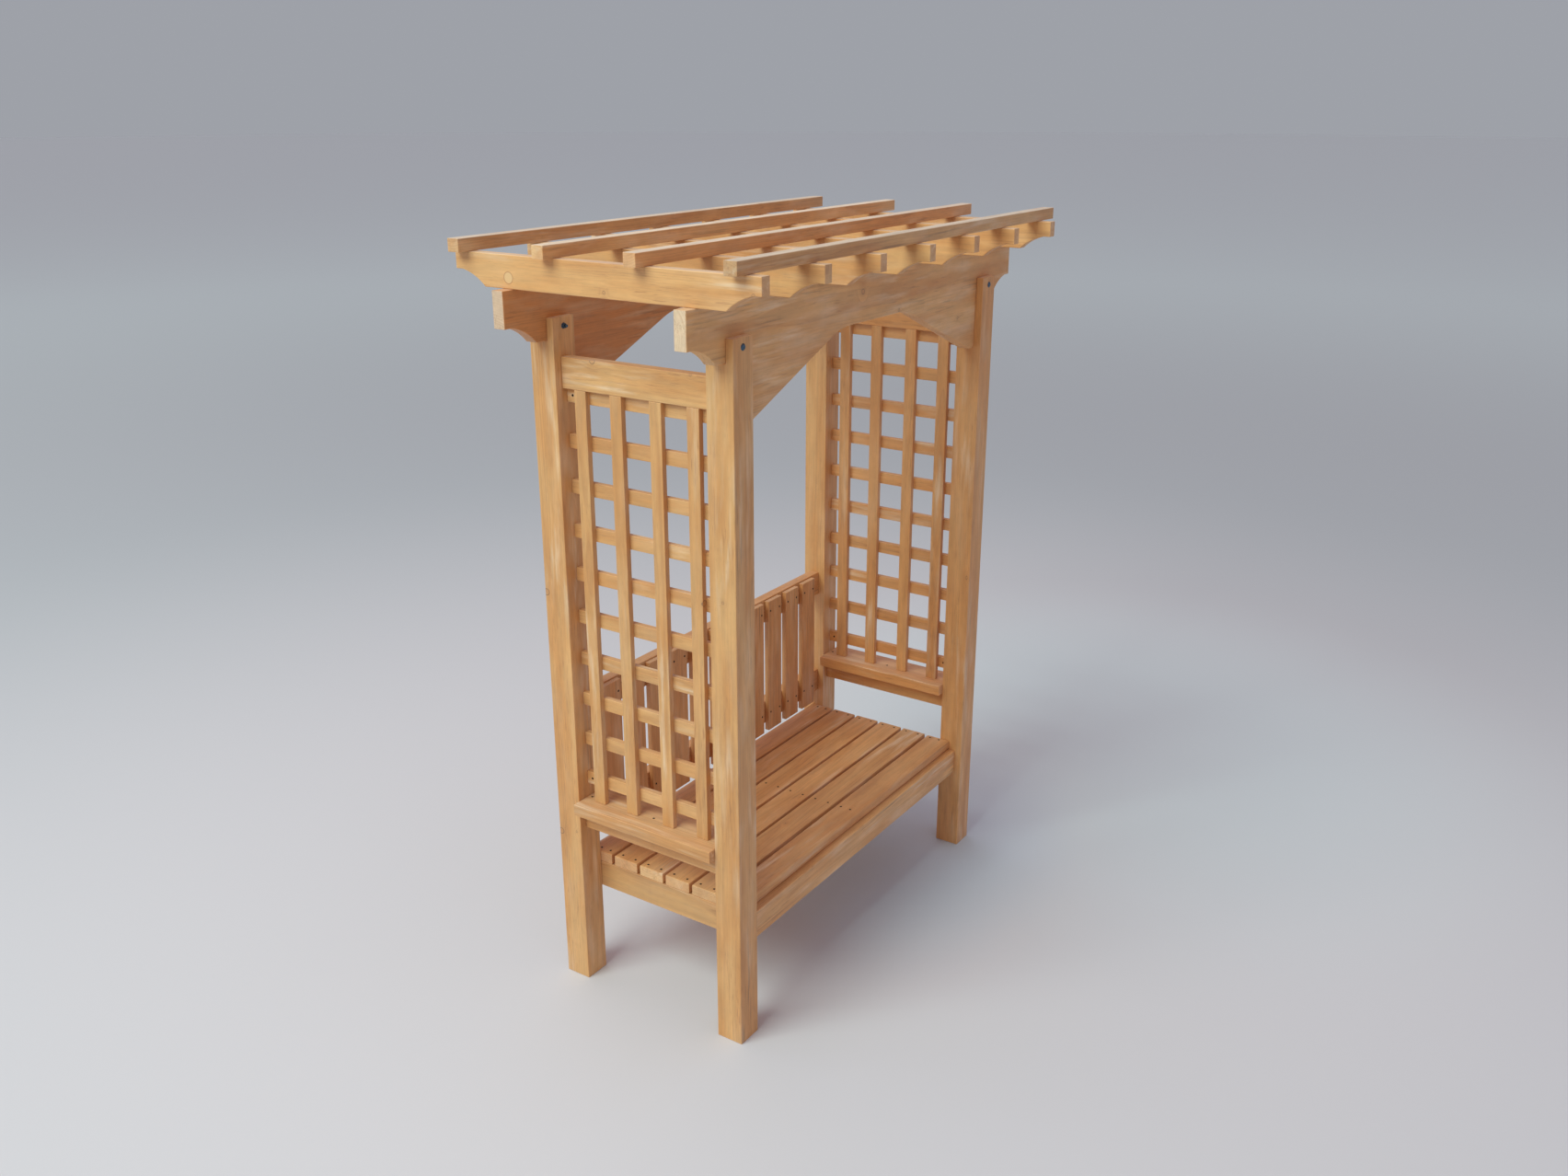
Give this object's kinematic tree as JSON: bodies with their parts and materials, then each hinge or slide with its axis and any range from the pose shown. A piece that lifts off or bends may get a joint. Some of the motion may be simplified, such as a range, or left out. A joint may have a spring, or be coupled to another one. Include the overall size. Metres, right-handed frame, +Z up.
{
  "type": "arbour seat",
  "caption": "Open timber garden arbour seat: slatted bench and boarded back between square posts, lattice sides, arched beams and a scroll-ended rafter roof.",
  "frame": {"origin": "on the ground below the middle of the roof", "axes": "+Z up; X along the bench; -Y is the open front, so +Y is the back"},
  "size_m": [1.868, 1.032, 2.4019],
  "materials": {
    "post": "planed softwood, clear honey stain",
    "beam": "planed softwood, clear honey stain",
    "rafter": "planed softwood, clear honey stain",
    "purlin": "planed softwood, clear honey stain",
    "side_rail": "planed softwood, clear honey stain",
    "lattice": "planed softwood, clear honey stain",
    "sill": "planed softwood, clear honey stain",
    "apron": "planed softwood, clear honey stain",
    "seat_bearer": "planed softwood, clear honey stain",
    "seat_slat": "planed softwood, clear honey stain",
    "back_rail": "planed softwood, clear honey stain",
    "back_slat": "planed softwood, clear honey stain",
    "bolt": "blue-black zinc",
    "nut": "blue-black zinc"
  },
  "bodies": {
    "root": {"post_front_left": "post", "post_front_right": "post", "post_rear_left": "post", "post_rear_right": "post", "beam_front": "beam", "beam_rear": "beam", "rafter_1": "rafter", "rafter_2": "rafter", "rafter_3": "rafter", "rafter_4": "rafter", "rafter_5": "rafter", "rafter_6": "rafter", "rafter_7": "rafter", "purlin_1": "purlin", "purlin_2": "purlin", "purlin_3": "purlin", "purlin_4": "purlin", "side_top_rail_left": "side_rail", "side_lattice_left": "lattice", "side_sill_left": "sill", "side_lower_rail_left": "side_rail", "side_top_rail_right": "side_rail", "side_lattice_right": "lattice", "side_sill_right": "sill", "side_lower_rail_right": "side_rail", "seat_apron_front": "apron", "seat_apron_rear": "apron", "seat_side_rail_left": "seat_bearer", "seat_side_rail_right": "seat_bearer", "seat_mid_bearer": "seat_bearer", "seat_slat_1": "seat_slat", "seat_slat_2": "seat_slat", "seat_slat_3": "seat_slat", "seat_slat_4": "seat_slat", "seat_slat_5": "seat_slat", "seat_slat_6": "seat_slat", "back_top_rail": "back_rail", "back_bottom_rail": "back_rail", "back_slat_01": "back_slat", "back_slat_02": "back_slat", "back_slat_03": "back_slat", "back_slat_04": "back_slat", "back_slat_05": "back_slat", "back_slat_06": "back_slat", "back_slat_07": "back_slat", "back_slat_08": "back_slat", "back_slat_09": "back_slat", "back_slat_10": "back_slat", "back_slat_11": "back_slat", "bolt_front_left": "bolt", "nut_front_left": "nut", "bolt_front_right": "bolt", "nut_front_right": "nut", "bolt_rear_left": "bolt", "nut_rear_left": "nut", "bolt_rear_right": "bolt", "nut_rear_right": "nut"}
  },
  "joints": []
}
